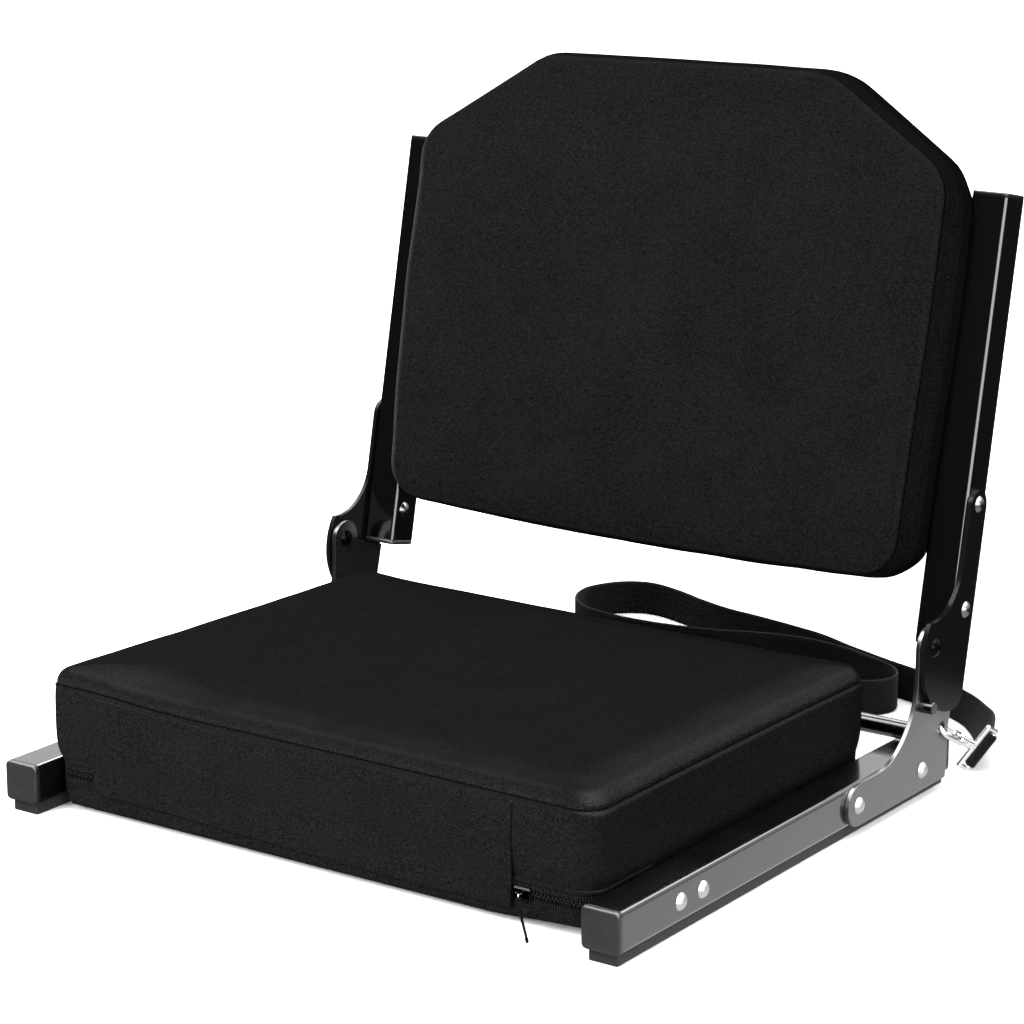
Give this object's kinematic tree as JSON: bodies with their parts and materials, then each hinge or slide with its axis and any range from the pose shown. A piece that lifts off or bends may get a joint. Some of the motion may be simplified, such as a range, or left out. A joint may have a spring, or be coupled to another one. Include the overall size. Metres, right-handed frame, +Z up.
{
  "type": "bleacher seat",
  "caption": "Folding stadium seat with a padded base, a padded back that folds forward on steel side plates, and a webbing strap.",
  "frame": {"origin": "on the standing surface, under the middle of the seat without its strap", "axes": "+X to the seat's left-hand side as seen by a person sitting in it, which is the right side from the front; -Y to the front; +Z up"},
  "size_m": [0.4816, 0.5908, 0.4337],
  "materials": {
    "black_steel": "gloss powder coat",
    "grey_steel": "satin powder coat with a grey sheen",
    "cap_plastic": "matte",
    "strip_rubber": "matte",
    "rivet_steel": "bright",
    "black_rivet": "gloss",
    "nylon": "matte",
    "cover_fabric": "fine weave",
    "foam": "open cell foam",
    "board": "plain",
    "grip": "hook and loop",
    "zip_tape": "woven tape and coil",
    "slider_metal": "bright",
    "pull_cord": "braided",
    "hook_chrome": "polished",
    "webbing": "ribbed weave"
  },
  "bodies": {
    "base": {"base_tube_right": "black_steel", "base_tube_left": "black_steel", "base_tube_caps": "cap_plastic", "floor_strips": "strip_rubber", "lower_bracket_right": "grey_steel", "lower_bracket_left": "grey_steel", "stop_pegs": "black_steel", "crossbar": "black_steel", "front_cross_strap": "black_steel", "rear_cross_strap": "black_steel", "front_strap_rivets": "rivet_steel", "bracket_rivets": "rivet_steel", "pivot_rivets": "black_rivet", "pivot_washers": "nylon", "seat_cover": "cover_fabric", "seat_foam": "foam", "seat_board": "board", "seat_grip_pads": "grip", "zip_chain": "zip_tape", "front_flap": "cover_fabric", "hook_right": "hook_chrome", "hook_left": "hook_chrome", "strap_ring_right": "hook_chrome", "strap_ring_left": "hook_chrome", "gate_pins": "hook_chrome", "strap_end_loops": "webbing", "strap_webbing": "webbing"},
    "back": {"upright_right": "black_steel", "upright_left": "black_steel", "upright_caps": "cap_plastic", "upper_bracket_right": "black_steel", "upper_bracket_left": "black_steel", "upright_rivets": "rivet_steel", "back_rail_lower": "black_steel", "back_rail_upper": "black_steel", "back_cover": "cover_fabric", "back_foam": "foam", "back_board": "board", "back_loops": "webbing"},
    "zip_slider": {"zip_slider": "slider_metal"},
    "zip_pull": {"zip_pull": "pull_cord"},
    "gate_right": {"hook_gate_right": "hook_chrome"},
    "gate_left": {"hook_gate_left": "hook_chrome"}
  },
  "joints": [
    {"name": "back_fold", "type": "hinge", "parent": "base", "child": "back", "pos_m": [0, 0.11794, 0.0986], "axis": [1, 0, 0], "range_deg": [0, 101.5]},
    {"name": "zip_slide", "type": "slide", "parent": "base", "child": "zip_slider", "axis": [1, 0, 0], "range_m": [0, 0.022]},
    {"name": "zip_pull_swing", "type": "hinge", "parent": "zip_slider", "child": "zip_pull", "pos_m": [0.1488, -0.20846, 0.022], "axis": [1, 0, 0], "range_deg": [-90, 0]},
    {"name": "hook_gate_right", "type": "hinge", "parent": "base", "child": "gate_right", "pos_m": [0.22691, 0.15901, 0.03086], "axis": [0.6538, 0.3131, 0.6888], "range_deg": [0, 25], "stiffness_Nm_per_rad": 0.002, "springref_deg": -17.19},
    {"name": "hook_gate_left", "type": "hinge", "parent": "base", "child": "gate_left", "pos_m": [-0.22691, 0.15901, 0.03086], "axis": [0.6538, -0.3131, -0.6888], "range_deg": [0, 25], "stiffness_Nm_per_rad": 0.002, "springref_deg": -17.19}
  ]
}
